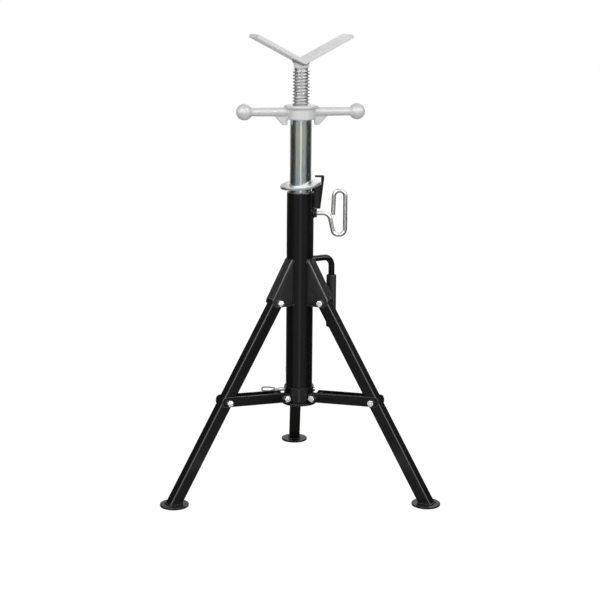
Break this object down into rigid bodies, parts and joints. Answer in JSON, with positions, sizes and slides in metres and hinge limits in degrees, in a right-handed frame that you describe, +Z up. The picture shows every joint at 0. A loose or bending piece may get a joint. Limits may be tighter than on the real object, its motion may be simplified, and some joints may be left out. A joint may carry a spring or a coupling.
{
  "type": "folding tripod pipe stand",
  "caption": "Folding tripod stand for pipe: a bent V head on a jack screw, a sliding mast with a height pin and grip ring, braced folding legs and a carry handle.",
  "frame": {"origin": "on the floor, on the axis of the upright tube, legs open", "axes": "+Z up along the tubes; +X towards the height pin; the legs stand at -150, -30 and +90 degrees from +X; the usual viewing side is -Y"},
  "size_m": [0.617, 0.5428, 1.022],
  "materials": {
    "black_paint": "gloss black powder coat over steel, with slight orange peel",
    "grey_paint": "light grey zinc-rich paint over a rolled steel plate",
    "grey_casting": "light grey coated sand casting, faintly pitted",
    "zinc_tube": "bright zinc-plated steel",
    "zinc_fasteners": "bright zinc-plated steel",
    "rubber": "matt black moulded rubber"
  },
  "bodies": {
    "upright": {"outer_tube": "black_paint", "base_stop": "black_paint", "leg_bracket_1": "black_paint", "leg_bracket_2": "black_paint", "leg_bracket_3": "black_paint", "ring_hook": "black_paint", "pin_boss": "black_paint", "carry_handle": "black_paint", "handle_grip": "rubber", "pivot_bolts": "zinc_fasteners", "pivot_nuts": "zinc_fasteners"},
    "mast": {"mast_tube": "zinc_tube"},
    "jack_nut": {"jack_nut": "grey_casting"},
    "jack_screw": {"jack_screw": "zinc_tube", "screw_neck": "grey_paint", "v_head": "grey_paint"},
    "friction_ring": {"friction_ring": "zinc_tube"},
    "height_pin": {"height_pin": "zinc_fasteners"},
    "collar": {"collar_sleeve": "black_paint", "collar_ears": "black_paint", "collar_bolts": "zinc_fasteners", "collar_nuts": "zinc_fasteners", "collar_screw": "zinc_fasteners"},
    "lock_pin": {"lock_pin": "zinc_fasteners", "lock_clip": "zinc_fasteners"},
    "leg_1": {"leg_1": "black_paint", "leg_bush_1": "zinc_fasteners", "foot_1": "black_paint"},
    "leg_2": {"leg_2": "black_paint", "leg_bush_2": "zinc_fasteners", "foot_2": "black_paint"},
    "leg_3": {"leg_3": "black_paint", "leg_bush_3": "zinc_fasteners", "foot_3": "black_paint"},
    "strut_1": {"strut_1": "black_paint", "strut_bolt_1": "zinc_fasteners", "strut_nut_1": "zinc_fasteners"},
    "strut_2": {"strut_2": "black_paint", "strut_bolt_2": "zinc_fasteners", "strut_nut_2": "zinc_fasteners"},
    "strut_3": {"strut_3": "black_paint", "strut_bolt_3": "zinc_fasteners", "strut_nut_3": "zinc_fasteners"}
  },
  "joints": [
    {"name": "mast_height", "type": "slide", "parent": "upright", "child": "mast", "axis": [0, 0, 1], "range_m": [-0.1, 0.25]},
    {"name": "nut_turn", "type": "hinge", "parent": "mast", "child": "jack_nut", "pos_m": [0, 0, 0.852], "axis": [0, 0, 1], "range_deg": [-3960, 3960]},
    {"name": "screw_lift", "type": "slide", "parent": "mast", "child": "jack_screw", "axis": [0, 0, 1], "range_m": [-0.0771, 0.0771]},
    {"name": "ring_release", "type": "hinge", "parent": "upright", "child": "friction_ring", "pos_m": [0.03015, 0, 0.6898], "axis": [-0.6157, 0.788, 0], "range_deg": [0, 8]},
    {"name": "height_pin_pull", "type": "slide", "parent": "upright", "child": "height_pin", "axis": [1, 0, 0], "range_m": [-0.0055, 0.0105]},
    {"name": "leg_1_fold", "type": "hinge", "parent": "upright", "child": "leg_1", "pos_m": [-0.05239, -0.03025, 0.428], "axis": [0.5, -0.866, 0], "range_deg": [0, 30]},
    {"name": "leg_2_fold", "type": "hinge", "parent": "upright", "child": "leg_2", "pos_m": [0.05239, -0.03025, 0.428], "axis": [0.5, 0.866, 0], "range_deg": [0, 30]},
    {"name": "leg_3_fold", "type": "hinge", "parent": "upright", "child": "leg_3", "pos_m": [0, 0.0605, 0.428], "axis": [-1, 0, 0], "range_deg": [0, 30]},
    {"name": "collar_slide", "type": "slide", "parent": "upright", "child": "collar", "axis": [0, 0, 1], "range_m": [0, 0.11995]},
    {"name": "strut_1_fold", "type": "hinge", "parent": "collar", "child": "strut_1", "pos_m": [-0.03637, -0.021, 0.2065], "axis": [0.5, -0.866, 0], "range_deg": [0, 84.45]},
    {"name": "strut_2_fold", "type": "hinge", "parent": "collar", "child": "strut_2", "pos_m": [0.03637, -0.021, 0.2065], "axis": [0.5, 0.866, 0], "range_deg": [0, 84.45]},
    {"name": "strut_3_fold", "type": "hinge", "parent": "collar", "child": "strut_3", "pos_m": [0, 0.042, 0.2065], "axis": [-1, 0, 0], "range_deg": [0, 84.45]},
    {"name": "lock_pin_push", "type": "slide", "parent": "collar", "child": "lock_pin", "axis": [1, 0, 0], "range_m": [-0.0025, 0.0042]}
  ],
  "couplings": [
    {"joint": "screw_lift", "follows": "nut_turn", "m_per_rad": -0.0011141},
    {"joint": "leg_2_fold", "follows": "leg_1_fold", "ratio": 1},
    {"joint": "leg_3_fold", "follows": "leg_1_fold", "ratio": 1},
    {"joint": "collar_slide", "follows": "leg_1_fold", "m_per_rad": 0.22885},
    {"joint": "strut_1_fold", "follows": "leg_1_fold", "ratio": 2.8138},
    {"joint": "strut_2_fold", "follows": "leg_1_fold", "ratio": 2.8138},
    {"joint": "strut_3_fold", "follows": "leg_1_fold", "ratio": 2.8138}
  ]
}
